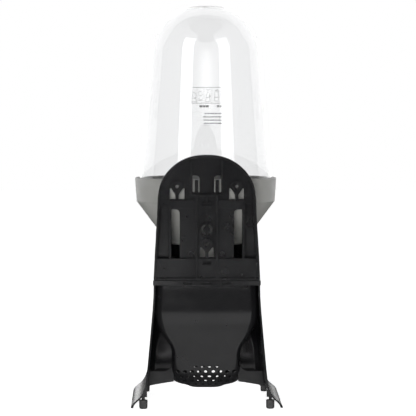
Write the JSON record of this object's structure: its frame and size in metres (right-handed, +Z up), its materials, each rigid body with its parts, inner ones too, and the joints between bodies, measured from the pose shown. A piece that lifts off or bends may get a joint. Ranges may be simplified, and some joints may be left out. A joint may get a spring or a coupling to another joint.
{
  "type": "automatic pet feeder",
  "caption": "Gravity pet food feeder with a clear domed hopper on a funnel collar, a black stand with a ribbed back plate, a sloping chute, a drained bowl and rubber feet.",
  "frame": {"origin": "on the floor, under the middle of the whole object", "axes": "+Z up along the hopper, front of the feeder towards -Y, back plate towards +Y, +X to the left of someone looking at the back"},
  "size_m": [0.1688, 0.178, 0.4495],
  "materials": {
    "clear_plastic": "clear, polished",
    "label_film": "clear film with dark print",
    "grey_plastic": "fine satin",
    "black_plastic": "satin to semi-gloss moulding",
    "foot_rubber": "matte",
    "screw_steel": "blackened"
  },
  "bodies": {
    "stand": {"back_plate": "black_plastic", "front_cowl": "black_plastic", "base_shell": "black_plastic", "feed_bowl": "black_plastic", "feed_baffle": "black_plastic", "rear_foot_left": "foot_rubber", "rear_foot_right": "foot_rubber", "front_foot_left": "foot_rubber", "front_foot_right": "foot_rubber", "plate_screws": "screw_steel", "deck_screws": "screw_steel", "side_screws": "screw_steel"},
    "hopper": {"funnel_collar": "grey_plastic"},
    "dome": {"hopper_dome": "clear_plastic", "instruction_label": "label_film"},
    "gate": {"flow_gate": "grey_plastic", "gate_knob": "black_plastic"}
  },
  "joints": [
    {"name": "hopper_lift", "type": "slide", "parent": "stand", "child": "hopper", "axis": [0, 0, 1], "range_m": [0, 0.07]},
    {"name": "dome_twist", "type": "hinge", "parent": "hopper", "child": "dome", "pos_m": [0, -0.008, 0.243], "axis": [0, 0, 1], "range_deg": [0, 25]},
    {"name": "gate_slide", "type": "slide", "parent": "stand", "child": "gate", "axis": [0, 0.6428, -0.766], "range_m": [0, 0.025]}
  ]
}
